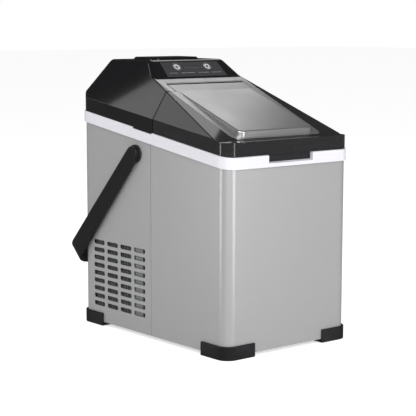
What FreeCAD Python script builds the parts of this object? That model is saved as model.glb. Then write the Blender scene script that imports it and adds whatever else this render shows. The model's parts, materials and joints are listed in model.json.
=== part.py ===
import FreeCAD, Part

import math
import os

from FreeCAD import Placement, Rotation, Vector

# Countertop ice maker. Millimetres, +Z up, the front with the finger notch faces -Y.
# While it is drawn, Y is measured from the front panel's face; export centres the whole part.

# Cabinet
bodyWidth = 210.0          # outside of the side panels
bodyDepth = 312.0          # outside of the front and rear panels
cornerRadius = 14.0        # upright corners of the panels
panelFrontHeight = 240.5   # top of the panels at the front, above the floor
deckSlope = 0.141          # rise of the panel tops, rim and lid skirt per mm towards the back
sheet = 1.0                # panel sheet thickness
footLift = 5.0             # panel bottoms above the floor
panelSplit = 155.0         # where the front sheet meets the rear sheet
splitGap = 0.8             # gap between the two sheets
baseThickness = 4.0
joinGap = 0.3              # clearance between pieces that move past each other

# Corner feet
footWallTop = 18.0
footWall = 3.0
footAlongSide = 48.0
footAlongFront = 46.0
footPadWidth = 19.0
footEdgeRadius = 1.0

# White rim
rimHeight = 15.0
rimProud = 2.5
rimInner = 5.0             # how far the rim reaches inside the panels' outside
rimLedgeWidth = 3.5
rimLedgeThickness = 3.0
rimNotchHalf = 38.0        # finger notch in the front of the rim
rimNotchDepth = 10.6
rimNotchWall = 2.0
gripLipHalf = 36.0         # lip of the lid that reaches down into the notch
gripLipDrop = 8.8
gripLipFront = 0.6
gripLipThickness = 2.0
rimEdgeRadius = 1.2

# Cap and lid roof
skirtHeight = 18.3
skirtProud = 1.0
roofSideSlope = 1.55       # side faces rise this much per mm inwards
lidSlope = 0.4245          # lid face rise per mm towards the back
lidFaceStart = 16.0        # the lid face starts here, above its front skirt
controlAngle = 42.0        # degrees, slope of the control face
plateauRise = 113.7        # flat top above the front of the rim
plateauFront = 210.0
plateauRearInset = 22.5    # flat top ends this far in front of the rear panel
roofWall = 2.2
browRadius = 12.0          # rounding where the control face meets the flat top
ridgeRadius = 1.8
browRidgeRadius = 8.0      # softer edges beside the control face
seamPlace = 150.0          # the lid ends and the cap begins
seamGap = 1.6
tabLength = 42.0           # tab of the cap that steps down into the rim beside the seam
tabDrop = 1.8
topPadHalf = 42.0          # low raised pad on the flat top
topPadFront = 231.0
topPadMargin = 6.5         # from the pad to the back of the flat top
topPadRise = 3.0
topPadCorner = 10.0

# Lid hinge and tongue
tongueHalf = 66.6
tongueThickness = 7.2
hingePlace = 167.3
hingePinRadius = 1.25
hingePinReach = 12.0
runningGap = 0.05

# Silver trim and plate
trimHalf = 76.0
trimLeg = 8.0
trimBack = 182.2
trimThickness = 1.4
legGap = 1.8
plateHalf = 76.0
plateFront = 20.0
plateSheet = 1.2
padHalf = 65.0
padFront = 23.5
padRise = 0.062            # extra rise of the raised pad per mm towards the front
padCorner = 9.0
padEdgeRadius = 2.5
plateCorner = 10.0

# Control panel
overlayTopHalf = 50.0
overlayBottomHalf = 52.0
overlayLength = 28.3
overlayStart = 3.9         # from the lower edge of the control face, along the slope
overlayThickness = 0.8
keySpacing = 26.6
keyRadius = 7.6
keyProud = 0.5
keyDepth = 4.0
keyEdgeRadius = 0.4
keyTravel = 0.8
keyPlace = 22.5            # along the control face
boardDrop = 9.0
boardThickness = 1.6

# Carry handle
pivotFromBack = 125.0      # pivots in front of the rear panel
pivotAboveDeck = 6.5       # pivots above the front top edge of the panels
handleRestAngle = 46.4     # below level, towards the back
armThickness = 5.4
armGap = 3.6               # between the side panel and the arm
armUpper = 10.2
armLowerAtPivot = 11.0
armLowerAtGrip = 17.5
gripWidth = 10.0
gripGap = 2.33             # between the rear panel and the resting grip
gripCornerOuter = 22.0
gripCornerInner = 13.0
pivotPinRadius = 4.0
pivotBossRadius = 12.0
pivotEndWall = 1.2
handleEdgeRadius = 1.2

# Liner, basket and insulation
linerWall = 2.2
linerSideFoam = 9.0        # foam and panel between the liner and the outside
linerFront = 8.8
linerBack = 149.5
linerCorner = 12.0
linerBottom = 38.0
linerStep = 121.8
wellStep = 9.8             # the water well is this much narrower on each side
wellFront = 17.8
wellBack = 140.2
basketSideGap = 2.8
basketFront = 13.5
basketTrayGap = 5.0        # between the basket and the tray's front edge
basketWall = 2.0
basketBelowDeck = 4.5      # basket top below the front top edge of the panels
basketCorner = 10.0
slotWidth = 4.4
slotPitch = 11.0

# Ice making gear
trayBelowBasketTop = 28.0
trayBackGap = 0.3          # between the tray and the liner's rear wall
trayRadius = 25.0
trayWall = 1.6
trayHalf = 70.0
stubRadius = 3.0
fingerRadius = 4.5
fingerRows = (-8.5, 8.5)
fingerSpacing = 27.0
fingerBelow = 12.0
coilAbove = 32.0
coilRadius = 5.5
coilLeft = -56.0
lineX = (52.0, 66.0)       # where the two refrigerant lines leave the evaporator
pumpLeft = -82.0
pumpRight = -52.0
hoseX = -78.0
floatX = 70.0
floatPlace = 100.0

# Machine compartment
ventRows = 9
ventColumns = 4
ventLength = 25.5
ventHeight = 6.2
ventPitchAlong = 31.0
ventPitchUp = 10.85
ventFirstPlace = 168.0
ventFirstHeight = 30.2
condenserThickness = 20.0
condenserFront = 176.0
condenserLength = 112.0
condenserHeight = 104.0
condenserBase = 24.0
condenserPass = 20.0       # spacing of the tube passes
fanRadius = 46.0
fanCentrePlace = 232.0
fanCentreHeight = 76.0
compressorRadius = 46.0
compressorHeight = 118.0
compressorX = 38.0
compressorPlace = 226.0
elbowSwell = 1.15          # elbows are this much fatter than their tube
rearRunInset = 14.0        # tubes that cross the back run this far inside the rear panel
drierX = -2.0
drierInset = 22.0
drierLow = 140.0
drierHigh = 206.0
inletWidth = 27.0
inletHeight = 20.0
inletX = 52.0
inletPlaceHeight = 44.0
drainPlace = 62.0
drainHeight = 50.0
drainRadius = 6.0

# Sizes that follow from the ones above
halfWidth = bodyWidth / 2.0
plateauHeight = panelFrontHeight + rimHeight + plateauRise
plateauBack = bodyDepth - plateauRearInset
topPadBack = plateauBack - topPadMargin
tongueNose = tongueThickness / 2.0
pivotPlace = bodyDepth - pivotFromBack
pivotHeight = panelFrontHeight + pivotAboveDeck
armInner = halfWidth + armGap
restCosine = math.cos(math.radians(handleRestAngle))
restSine = math.sin(math.radians(handleRestAngle))
gripInner = (bodyDepth + gripGap - pivotPlace + armLowerAtGrip * restSine) / restCosine
gripOuter = gripInner + gripWidth
linerHalf = halfWidth - linerSideFoam
wellHalf = linerHalf - wellStep
basketHalf = linerHalf - linerWall - basketSideGap
basketTop = panelFrontHeight - basketBelowDeck
trayAxisPlace = linerBack - linerWall - trayBackGap - trayRadius
trayAxisHeight = basketTop - trayBelowBasketTop
basketBack = trayAxisPlace - trayRadius - basketTrayGap
condenserBack = condenserFront + condenserLength
condenserLow = condenserBase + 12.0
condenserHigh = condenserLow + 4 * condenserPass
fanFront = -halfWidth + sheet + 1.5 + condenserThickness + 1.0
baseTop = footLift + baseThickness
compressorBase = baseTop + 9.0
compressorTop = compressorBase + compressorHeight
rearRun = bodyDepth - rearRunInset
drierPlace = bodyDepth - drierInset
controlSlope = math.tan(math.radians(controlAngle))
tallEnough = 600.0
X = Vector(1, 0, 0)
Y = Vector(0, 1, 0)
Z = Vector(0, 0, 1)


# Heights of the sloping faces at a distance y from the front panel

def rimBottomAt(y):
    return panelFrontHeight + deckSlope * y


def rimTopAt(y):
    return rimBottomAt(y) + rimHeight


def skirtTopAt(y):
    return rimTopAt(y) + skirtHeight


def lidFaceAt(y):
    return skirtTopAt(0.0) + lidSlope * (y - lidFaceStart)


def rearFaceSlope():
    back = bodyDepth + skirtProud
    return (plateauHeight - skirtTopAt(back)) / (back - plateauBack)


# Drawing helpers

def box(x0, x1, y0, y1, z0, z1):
    return Part.makeBox(x1 - x0, y1 - y0, z1 - z0, Vector(x0, y0, z0))


def rod(radius, start, end):
    axis = Vector(*end) - Vector(*start)
    return Part.makeCylinder(radius, axis.Length, Vector(*start), axis)


def roundedPrism(x0, x1, y0, y1, z0, z1, radius):
    block = box(x0, x1, y0, y1, z0, z1)
    upright = [e for e in block.Edges if abs(e.tangentAt(e.FirstParameter).z) > 0.99]
    return block.makeFillet(radius, upright)


def cabinetPrism(offset, z0, z1):
    """Outline of the cabinet grown by an offset, with its rounded corners."""
    return roundedPrism(-halfWidth - offset, halfWidth + offset, -offset, bodyDepth + offset,
                        z0, z1, max(cornerRadius + offset, 1.0))


def sideProfile(points, x0, x1):
    """Closed outline in the Y-Z plane, drawn from x0 to x1."""
    wire = Part.makePolygon([Vector(x0, y, z) for y, z in points + points[:1]])
    return Part.Face(wire).extrude(Vector(x1 - x0, 0, 0))


def belowSlope(heightAt, drop=0.0, y0=-60.0, y1=500.0):
    """Everything under a face that slopes only towards the back."""
    return sideProfile([(y0, -50.0), (y1, -50.0), (y1, heightAt(y1) - drop),
                        (y0, heightAt(y0) - drop)], -300.0, 300.0)


def aboveSlope(heightAt, lift=0.0, y0=-60.0, y1=500.0):
    return sideProfile([(y0, heightAt(y0) + lift), (y1, heightAt(y1) + lift),
                        (y1, tallEnough), (y0, tallEnough)], -300.0, 300.0)


def underPlane(point, normal, inset=0.0):
    """A large block whose top face lies on a plane, lowered by the inset."""
    size = 1200.0
    turn = Rotation(Z, normal)
    unit = Vector(normal).normalize()
    block = Part.makeBox(size, size, size, Vector(-size / 2, -size / 2, -size))
    block.Placement = Placement(point - unit * inset, turn)
    return block


def mirrored(shape):
    return shape.mirror(Vector(0, 0, 0), X)


def fused(shapes):
    result = shapes[0].fuse(shapes[1:]) if len(shapes) > 1 else shapes[0]
    return result.removeSplitter()


def slotPrism(length, height, depth):
    """Rounded slot lying along Y, standing in Z, cut along X, centred on the origin."""
    block = Part.makeBox(depth, length, height, Vector(-depth / 2, -length / 2, -height / 2))
    edges = [e for e in block.Edges if abs(e.tangentAt(e.FirstParameter).x) > 0.99]
    return block.makeFillet(height * 0.42, edges)


# The roof that the cap and lid share

def roofProfile(inset):
    """Corners of the roof along its middle, front to back, every face lowered by the inset."""
    faces = [(0.0, skirtTopAt(0.0), 0.0),
             (lidFaceStart, lidFaceAt(lidFaceStart), lidSlope),
             (plateauFront, plateauHeight, controlSlope),
             (plateauFront, plateauHeight, 0.0),
             (plateauBack, plateauHeight, -rearFaceSlope())]
    lines = [(z - slope * y - inset * math.sqrt(1 + slope ** 2), slope) for y, z, slope in faces]
    corners = [(-60.0, lines[0][0])]
    for (baseA, slopeA), (baseB, slopeB) in zip(lines, lines[1:]):
        y = (baseB - baseA) / (slopeA - slopeB)
        corners.append((y, baseA + slopeA * y))
    last = bodyDepth + 20.0
    corners.append((last, lines[-1][0] + lines[-1][1] * last))
    return corners


def roofSolid(inset):
    """Hipped roof over the rim: side faces, lid face, control face, plateau and rear face."""
    corners = roofProfile(inset)
    solid = cabinetPrism(skirtProud - inset, 0.0, tallEnough)
    solid = solid.common(sideProfile([(corners[0][0], -50.0)] + corners + [(corners[-1][0], -50.0)],
                                     -300.0, 300.0))
    for side in (-1, 1):
        edge = Vector(side * (halfWidth + skirtProud), 0.0, skirtTopAt(0.0))
        normal = Vector(side * roofSideSlope, -deckSlope, 1.0)
        solid = solid.common(underPlane(edge, normal, inset))
    return solid


def ridgeEdges(roof, y0, y1):
    """Edges of the roof that climb towards the back, between two distances from the front."""
    found = []
    for edge in roof.Edges:
        place = edge.CenterOfMass
        along = edge.tangentAt((edge.FirstParameter + edge.LastParameter) / 2)
        climbs = abs(along.y) > 0.3 and abs(place.x) > 30
        if climbs and place.z > skirtTopAt(place.y) + 3 and y0 < place.y < y1:
            found.append(edge)
    return found


def roundedRoof():
    """The roof's outside, with its long edges rounded."""
    roof = roofSolid(0)
    brow = [e for e in roof.Edges if abs(e.tangentAt(e.FirstParameter).x) > 0.99
            and abs(e.CenterOfMass.y - plateauFront) < 0.5 and e.CenterOfMass.z > plateauHeight - 1]
    roof = roof.makeFillet(browRadius, brow)
    roof = roof.makeFillet(browRidgeRadius, ridgeEdges(roof, controlStart + 1, plateauFront - 1))
    sharp = ridgeEdges(roof, plateauFront + 20, 500) + ridgeEdges(roof, 0, seamPlace)
    return roof.makeFillet(ridgeRadius, sharp)


def faceSheet(y0, y1, half, thickness, lift=0.0):
    """Flat sheet lying on the lid face, its top level with the face."""
    drop = thickness * math.sqrt(1 + lidSlope ** 2)
    return sideProfile([(y0, lidFaceAt(y0) - drop + lift), (y1, lidFaceAt(y1) - drop + lift),
                        (y1, lidFaceAt(y1) + lift), (y0, lidFaceAt(y0) + lift)], -half, half)


# Cabinet

def makeBasePan():
    return cabinetPrism(-sheet, footLift, footLift + baseThickness)


def makeFoot(sideways, lengthways):
    """Corner protector: a wall round the panel corner and a pad under it."""
    xEdge = halfWidth + footWall
    corner = box(xEdge - footWall - footAlongFront, xEdge, -footWall, footAlongSide, -1, 40)
    wall = cabinetPrism(footWall, footLift, footWallTop).cut(cabinetPrism(0, 0, 50))
    pad = cabinetPrism(footWall, 0, footLift).cut(cabinetPrism(footWall - footPadWidth, -1, 50))
    foot = fused([wall, pad]).common(corner)
    edges = [e for e in foot.Edges if abs(e.CenterOfMass.z - footLift) > 0.1]
    foot = foot.makeFillet(footEdgeRadius, edges)
    if sideways < 0:
        foot = mirrored(foot)
    if lengthways > 0:
        foot = foot.mirror(Vector(0, bodyDepth / 2, 0), Y)
    return foot


def panelWrap(y0, y1):
    wrap = cabinetPrism(0, footLift, tallEnough).cut(cabinetPrism(-sheet, 0, tallEnough + 1))
    wrap = wrap.common(box(-200, 200, y0, y1, 0, tallEnough))
    return wrap.common(belowSlope(rimBottomAt))


def makeFrontPanel():
    drainHole = rod(drainRadius + 2.5, (halfWidth - 5, drainPlace, drainHeight),
                    (halfWidth + 5, drainPlace, drainHeight))
    return panelWrap(-10, panelSplit - splitGap / 2).cut(drainHole)


def ventSlots():
    slots = []
    for column in range(ventColumns):
        for row in range(ventRows):
            y = ventFirstPlace + ventLength / 2 + column * ventPitchAlong
            z = ventFirstHeight + row * ventPitchUp
            slot = slotPrism(ventLength, ventHeight, bodyWidth + 20)
            slot.translate(Vector(0, y, z))
            slots.append(slot)
    return Part.makeCompound(slots)


def makeRearPanel():
    panel = panelWrap(panelSplit + splitGap / 2, bodyDepth + 10)
    inletHole = box(inletX - inletWidth / 2, inletX + inletWidth / 2, bodyDepth - 5, bodyDepth + 5,
                    inletPlaceHeight - inletHeight / 2, inletPlaceHeight + inletHeight / 2)
    return panel.cut(ventSlots()).cut(inletHole)


def onRimTop(edge):
    """True for the outer edge of the rim's top."""
    place = edge.CenterOfMass
    outside = abs(place.x) > halfWidth or place.y < 0 or place.y > bodyDepth
    return outside and abs(place.z - rimTopAt(place.y)) < 0.2 and edge.Length > 12


def makeTopRim():
    ring = cabinetPrism(rimProud, 0, tallEnough).cut(cabinetPrism(-rimInner, -1, tallEnough + 1))
    crossBar = box(-halfWidth + rimInner, halfWidth - rimInner, seamPlace, seamPlace + 6, 0, tallEnough)
    rim = ring.fuse(crossBar).common(aboveSlope(rimBottomAt)).common(belowSlope(rimTopAt))
    ledge = cabinetPrism(-rimInner, 0, tallEnough)
    ledge = ledge.cut(cabinetPrism(-rimInner - rimLedgeWidth, -1, tallEnough + 1))
    ledge = ledge.common(box(-200, 200, -10, seamPlace, 0, tallEnough))
    ledge = ledge.common(aboveSlope(rimBottomAt))
    ledge = ledge.common(belowSlope(rimBottomAt, -rimLedgeThickness))
    notch = box(-rimNotchHalf, rimNotchHalf, -20, rimInner - rimNotchWall,
                rimTopAt(0) - rimNotchDepth, rimTopAt(0) + 20)
    tabSpace = box(-200, 200, seamPlace, seamPlace + tabLength + joinGap, 0, tallEnough)
    tabSpace = tabSpace.common(aboveSlope(rimTopAt, -tabDrop))
    rim = fused([rim, ledge]).cut(notch).cut(tabSpace)
    return rim.makeFillet(rimEdgeRadius, [e for e in rim.Edges if onRimTop(e)])


# Liner and insulation

def linerSolid(inset, top):
    upper = roundedPrism(-linerHalf + inset, linerHalf - inset, linerFront + inset, linerBack - inset,
                         linerStep + inset, top, linerCorner - inset)
    well = roundedPrism(-wellHalf + inset, wellHalf - inset, wellFront + inset, wellBack - inset,
                        linerBottom + inset, linerStep + inset + 1, linerCorner - inset)
    return upper.fuse(well)


def drainBore():
    return rod(drainRadius + 2.5, (wellHalf - linerWall - 4, drainPlace, drainHeight),
               (halfWidth + 5, drainPlace, drainHeight))


def lineHoles():
    """Holes where the two refrigerant lines of the evaporator pass the rear wall."""
    holes = [rod(4.6, (x, 140, trayAxisHeight + coilAbove), (x, 160, trayAxisHeight + coilAbove))
             for x in lineX]
    return Part.makeCompound(holes)


def makeLiner():
    flange = cabinetPrism(-rimInner, 0, tallEnough).cut(linerSolid(0, tallEnough))
    flange = flange.common(box(-200, 200, -10, linerBack, 0, tallEnough))
    flange = flange.common(aboveSlope(rimBottomAt, rimLedgeThickness))
    tub = linerSolid(0, tallEnough).fuse(flange).common(belowSlope(rimBottomAt, -rimLedgeThickness - 2))
    return tub.cut(linerSolid(linerWall, tallEnough + 1)).cut(drainBore()).cut(lineHoles())


def makeInsulation():
    foam = cabinetPrism(-sheet, footLift + baseThickness, tallEnough)
    foam = foam.common(box(-200, 200, -10, seamPlace + 1, 0, tallEnough)).common(belowSlope(rimBottomAt))
    return foam.cut(linerSolid(0, tallEnough + 1)).cut(drainBore()).cut(lineHoles())


def makeBulkhead():
    plate = box(-halfWidth + sheet, halfWidth - sheet, seamPlace + 1, seamPlace + 3,
                footLift + baseThickness, tallEnough)
    return plate.common(belowSlope(rimBottomAt)).cut(lineHoles())


# Ice basket and water side

def makeIceBasket():
    bottom = linerStep + linerWall + joinGap
    outer = roundedPrism(-basketHalf, basketHalf, basketFront, basketBack, bottom, basketTop, basketCorner)
    inner = roundedPrism(-basketHalf + basketWall, basketHalf - basketWall, basketFront + basketWall,
                         basketBack - basketWall, bottom + basketWall, basketTop + 5,
                         basketCorner - basketWall)
    lip = roundedPrism(-basketHalf - 1.5, basketHalf + 1.5, basketFront - 1.5, basketBack + 1.5,
                       basketTop - 2.5, basketTop, basketCorner + 1.5)
    count = 7
    slots = []
    for i in range(-count, count + 1):
        x = i * slotPitch
        slots.append(box(x - slotWidth / 2, x + slotWidth / 2, basketFront + 12, basketBack - 12,
                         bottom - 1, bottom + basketWall + 1))
        slots.append(box(x - slotWidth / 2, x + slotWidth / 2, basketFront - 3, basketFront + 5,
                         bottom + 12, basketTop - 22))
        slots.append(box(x - slotWidth / 2, x + slotWidth / 2, basketBack - 5, basketBack + 3,
                         bottom + 12, basketTop - 22))
    return outer.fuse(lip).cut(inner).cut(Part.makeCompound(slots))


def makeWaterTray():
    axis = ((-trayHalf, trayAxisPlace, trayAxisHeight), (trayHalf, trayAxisPlace, trayAxisHeight))
    lower = box(-200, 200, trayAxisPlace - 50, trayAxisPlace + 50, trayAxisHeight - 50, trayAxisHeight)
    trough = rod(trayRadius, *axis).cut(rod(trayRadius - trayWall, *axis)).common(lower)
    pieces = [trough]
    for side in (-1, 1):
        disc = rod(trayRadius, (side * trayHalf, trayAxisPlace, trayAxisHeight),
                   (side * (trayHalf - 2), trayAxisPlace, trayAxisHeight)).common(lower)
        hub = rod(stubRadius + 3, (side * trayHalf, trayAxisPlace, trayAxisHeight),
                  (side * (trayHalf - 2), trayAxisPlace, trayAxisHeight))
        stub = rod(stubRadius, (side * (trayHalf - 2), trayAxisPlace, trayAxisHeight),
                   (side * (trayHalf + 16), trayAxisPlace, trayAxisHeight))
        pieces += [disc, hub, stub]
    return fused(pieces)


def makeIceRake():
    """Comb along the front edge of the tray that sweeps ice into the basket."""
    front = trayAxisPlace - trayRadius
    rail = box(-trayHalf + 4, trayHalf - 4, front, front + trayWall, trayAxisHeight, trayAxisHeight + 2.5)
    tines = [box(x - 1.5, x + 1.5, front, front + trayWall, trayAxisHeight + 2, trayAxisHeight + 9)
             for x in range(-60, 61, 12)]
    return fused([rail] + tines)


def makeTrayMotor():
    inner = linerHalf - linerWall
    body = roundedPrism(trayHalf + 4, inner, trayAxisPlace - 13, trayAxisPlace + 13,
                        trayAxisHeight - 14, trayAxisHeight + 14, 3)
    bore = rod(stubRadius + runningGap, (trayHalf, trayAxisPlace, trayAxisHeight),
               (trayHalf + 17, trayAxisPlace, trayAxisHeight))
    return body.cut(bore)


def makeTrayBearing():
    inner = linerHalf - linerWall
    body = box(-inner, -trayHalf - 4, trayAxisPlace - 8, trayAxisPlace + 8,
               trayAxisHeight - 8, trayAxisHeight + 8)
    bore = rod(stubRadius + runningGap, (-trayHalf, trayAxisPlace, trayAxisHeight),
               (-trayHalf - 17, trayAxisPlace, trayAxisHeight))
    return body.cut(bore)


def makeEvaporator():
    """Looped tube with the freezing fingers hanging from it and two lines leaving at the back."""
    z = trayAxisHeight + coilAbove
    pieces = []
    for row, yOff in enumerate(fingerRows):
        y = trayAxisPlace + yOff
        x1 = lineX[1 - row]
        pieces.append(rod(coilRadius, (coilLeft, y, z), (x1, y, z)))
        pieces.append(Part.makeSphere(coilRadius, Vector(x1, y, z)))
        pieces.append(rod(4.0, (x1, y, z), (x1, seamPlace + 7, z)))
        count = 5 - row
        for i in range(count):
            x = (i - (count - 1) / 2) * fingerSpacing
            pieces.append(rod(fingerRadius, (x, y, trayAxisHeight - fingerBelow), (x, y, z)))
    bend = Part.makeTorus(fingerRows[1], coilRadius, Vector(coilLeft, trayAxisPlace, z), Z)
    pieces.append(bend.common(box(-120, coilLeft, 60, 180, z - 20, z + 20)))
    return fused(pieces)


def makeEvaporatorBracket():
    z = trayAxisHeight + coilAbove + coilRadius + 0.1
    return box(-50, 44, trayAxisPlace - 16, linerBack - linerWall, z, z + 3)


def makeIceSensors():
    inner = linerHalf - linerWall
    one = box(inner - 6, inner, basketBack + 3.5, basketBack + 9.5, basketTop + 4, basketTop + 16)
    return Part.makeCompound([one, mirrored(one)])


def makeWaterPump():
    floor = linerBottom + linerWall
    body = roundedPrism(pumpLeft, pumpRight, 110, 136, floor, floor + 20, 4)
    motor = rod(10, (-64, 123, floor + 19), (-64, 123, floor + 34))
    return fused([body, motor])


def tubePath(radius, points):
    """Straight runs of tube with slightly swollen round elbows."""
    pieces = []
    for a, b in zip(points, points[1:]):
        pieces.append(rod(radius, a, b))
    pieces += [Part.makeSphere(radius * elbowSwell, Vector(*p)) for p in points[1:-1]]
    return fused(pieces)


def makePumpHose():
    floor = linerBottom + linerWall
    mouth = trayAxisHeight + 26
    return tubePath(3.5, [(hoseX, 131, floor + 20), (hoseX, 131, 150), (hoseX, 141.5, 166),
                          (hoseX, 141.5, mouth), (-64, 141.5, mouth)])


def makeFloatGuide():
    floor = linerBottom + linerWall
    post = rod(3, (floatX, floatPlace, floor), (floatX, floatPlace, floor + 66))
    foot = rod(9, (floatX, floatPlace, floor), (floatX, floatPlace, floor + 3))
    cap = rod(5, (floatX, floatPlace, floor + 64), (floatX, floatPlace, floor + 66))
    return fused([post, foot, cap])


def makeWaterFloat():
    floor = linerBottom + linerWall
    body = rod(11, (floatX, floatPlace, floor + 12), (floatX, floatPlace, floor + 28))
    return body.cut(rod(3 + runningGap, (floatX, floatPlace, floor), (floatX, floatPlace, floor + 60)))


def makeDrainSocket():
    start = wellHalf - linerWall
    pipe = rod(drainRadius + 2.5, (start, drainPlace, drainHeight), (halfWidth, drainPlace, drainHeight))
    flange = rod(drainRadius + 5, (halfWidth, drainPlace, drainHeight),
                 (halfWidth + 1.5, drainPlace, drainHeight))
    bore = rod(drainRadius, (start - 1, drainPlace, drainHeight),
               (halfWidth + 5, drainPlace, drainHeight))
    return fused([pipe, flange]).cut(bore)


def makeDrainPlug():
    knobStart = halfWidth + 1.5 + joinGap
    shank = rod(drainRadius - runningGap, (wellHalf, drainPlace, drainHeight),
                (knobStart, drainPlace, drainHeight))
    knob = rod(drainRadius + 3.5, (knobStart, drainPlace, drainHeight),
               (knobStart + 4.5, drainPlace, drainHeight))
    knob = knob.makeFillet(1.0, [e for e in knob.Edges if e.Length > 20])
    return fused([shank, knob])


# Cap, control panel and trim

trimFront = hingePlace + tongueNose + legGap
slopeLength = math.sqrt(1 + lidSlope ** 2)
hingeHeight = lidFaceAt(hingePlace) - tongueNose * slopeLength
controlStart = (plateauHeight - controlSlope * plateauFront - lidFaceAt(0)) / (lidSlope - controlSlope)
controlStartHeight = lidFaceAt(controlStart)


def onControlFace(shape):
    """Moves a shape drawn flat (X across, Y up the slope, Z outwards) onto the control face."""
    placed = shape.copy()
    placed.Placement = Placement(Vector(0, controlStart, controlStartHeight),
                                 Rotation(X, controlAngle)).multiply(placed.Placement)
    return placed


def overlayOutline(depth, top, grow=0.0):
    s0 = overlayStart - grow
    s1 = overlayStart + overlayLength + grow
    low = overlayBottomHalf + grow
    high = overlayTopHalf + grow
    points = [(-low, s0), (low, s0), (high, s1), (-high, s1), (-low, s0)]
    wire = Part.makePolygon([Vector(x, s, top - depth) for x, s in points])
    return Part.Face(wire).extrude(Vector(0, 0, depth))


def hingeAxisRod(radius, x0, x1):
    return rod(radius, (x0, hingePlace, hingeHeight), (x1, hingePlace, hingeHeight))


def trimOutline(thickness):
    bar = faceSheet(trimFront, trimBack, trimHalf, thickness)
    legs = faceSheet(seamPlace, trimFront + 1, trimHalf, thickness)
    legs = legs.cut(faceSheet(seamPlace - 1, trimFront, trimHalf - trimLeg, thickness + 2, 1))
    return bar.fuse(legs).removeSplitter()


def makeTopPad():
    pad = roundedPrism(-topPadHalf, topPadHalf, topPadFront, topPadBack,
                       plateauHeight - roofWall / 2, plateauHeight + topPadRise, topPadCorner)
    rim = [e for e in pad.Edges if e.BoundBox.ZMin > plateauHeight + topPadRise - 0.01]
    return pad.makeChamfer(topPadRise * 0.8, rim)


def makeRearCap():
    behind = box(-300, 300, seamPlace, 500, 0, tallEnough)
    roof = roundedRoof()
    tab = roof.common(box(-300, 300, seamPlace, seamPlace + tabLength, 0, tallEnough))
    tab = tab.common(aboveSlope(rimTopAt, -tabDrop))
    outer = roof.common(behind).common(aboveSlope(rimTopAt)).fuse(tab)
    hollow = roofSolid(roofWall).common(box(-300, 300, seamPlace + roofWall, 500, 0, tallEnough))
    pocketHalf = trimHalf - trimLeg
    block = faceSheet(seamPlace, trimFront + 3, pocketHalf + 4, tongueThickness + 5)
    pocket = faceSheet(seamPlace - 1, trimFront, pocketHalf, tongueThickness + 1.5, 0)
    pocket = pocket.fuse(faceSheet(seamPlace - 1, trimFront, pocketHalf, 4, 3))
    shell = outer.cut(hollow).fuse([block.common(outer), makeTopPad()]).cut(pocket)
    shell = shell.cut(trimOutline(trimThickness)).cut(trimOutline(2).translated(Vector(0, 0, 1.5)))
    shell = shell.cut(onControlFace(overlayOutline(3.0, 2.4)))
    for side in (-1, 1):
        shell = shell.cut(onControlFace(rod(keyRadius + joinGap, (side * keySpacing, keyPlace, -12),
                                            (side * keySpacing, keyPlace, 5))))
        shell = shell.cut(hingeAxisRod(hingePinRadius, side * (pocketHalf - 1), side * (pocketHalf + 4)))
    return shell.removeSplitter()


def makeTrimStrip():
    return trimOutline(trimThickness)


def makeControlOverlay():
    overlay = overlayOutline(overlayThickness, overlayThickness - 0.6)
    for side in (-1, 1):
        overlay = overlay.cut(rod(keyRadius + joinGap, (side * keySpacing, keyPlace, -3),
                                  (side * keySpacing, keyPlace, 3)))
    return onControlFace(overlay)


def makeKey(side):
    x = side * keySpacing
    cap = rod(keyRadius, (x, keyPlace, -keyDepth), (x, keyPlace, keyProud))
    flange = rod(keyRadius + 1.4, (x, keyPlace, -keyDepth), (x, keyPlace, -keyDepth + 1))
    groove = rod(5.2, (x, keyPlace, keyProud - 0.3), (x, keyPlace, keyProud + 1))
    groove = groove.cut(rod(4.2, (x, keyPlace, keyProud - 1), (x, keyPlace, keyProud + 2)))
    cap = cap.makeFillet(keyEdgeRadius, [e for e in cap.Edges if e.CenterOfMass.z > 0])
    return onControlFace(fused([cap, flange]).cut(groove))


def makeControlBoard():
    board = box(-48, 48, overlayStart + 3, overlayStart + overlayLength - 1,
                -boardDrop, -boardDrop + boardThickness)
    switchTop = -keyDepth - keyTravel - joinGap
    pieces = [board]
    for side in (-1, 1):
        x = side * keySpacing
        pieces.append(box(x - 3, x + 3, keyPlace - 3, keyPlace + 3, -boardDrop + 1, switchTop))
    for i in range(4):
        x = (i - 1.5) * 5.5
        pieces.append(box(x - 1, x + 1, keyPlace - 4, keyPlace - 2, -boardDrop + 1, -boardDrop + 3))
    return onControlFace(fused(pieces))


# Lid

def makeLidShell():
    seam = seamPlace - seamGap
    front = box(-300, 300, -60, seam, 0, tallEnough)
    outer = roundedRoof().common(front).common(aboveSlope(rimTopAt, joinGap + 0.1))
    hollow = roofSolid(roofWall).common(box(-300, 300, -60, seam - roofWall, 0, tallEnough))
    shell = outer.cut(hollow)
    lipTop = rimTopAt(0) + 3
    lip = box(-gripLipHalf, gripLipHalf, gripLipFront, gripLipFront + gripLipThickness,
              rimTopAt(0) - gripLipDrop, lipTop)
    normal = Vector(0, -lidSlope, 1).normalize()
    start = seam - 12
    topAt = Vector(0, hingePlace, hingeHeight) + normal * tongueNose
    lowAt = Vector(0, hingePlace, hingeHeight) - normal * tongueNose
    run = Vector(0, start - topAt.y, (start - topAt.y) * lidSlope)
    corners = [topAt, topAt + run, lowAt + run, lowAt]
    tongue = sideProfile([(c.y, c.z) for c in corners], -tongueHalf, tongueHalf)
    nose = hingeAxisRod(tongueNose, -tongueHalf, tongueHalf)
    lid = fused([shell, lip, tongue, nose])
    lid = lid.cut(platePocket())
    for side in (-1, 1):
        lid = lid.cut(hingeAxisRod(hingePinRadius + runningGap, side * (tongueHalf - hingePinReach),
                                   side * (tongueHalf + 1)))
    return lid


def plateOutline(back):
    """Upright outline of the plate's flange, with rounded front corners."""
    outline = roundedPrism(-plateHalf, plateHalf, plateFront, back + 50, 0, tallEnough, plateCorner)
    return outline.common(box(-200, 200, 0, back, 0, tallEnough))


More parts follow.
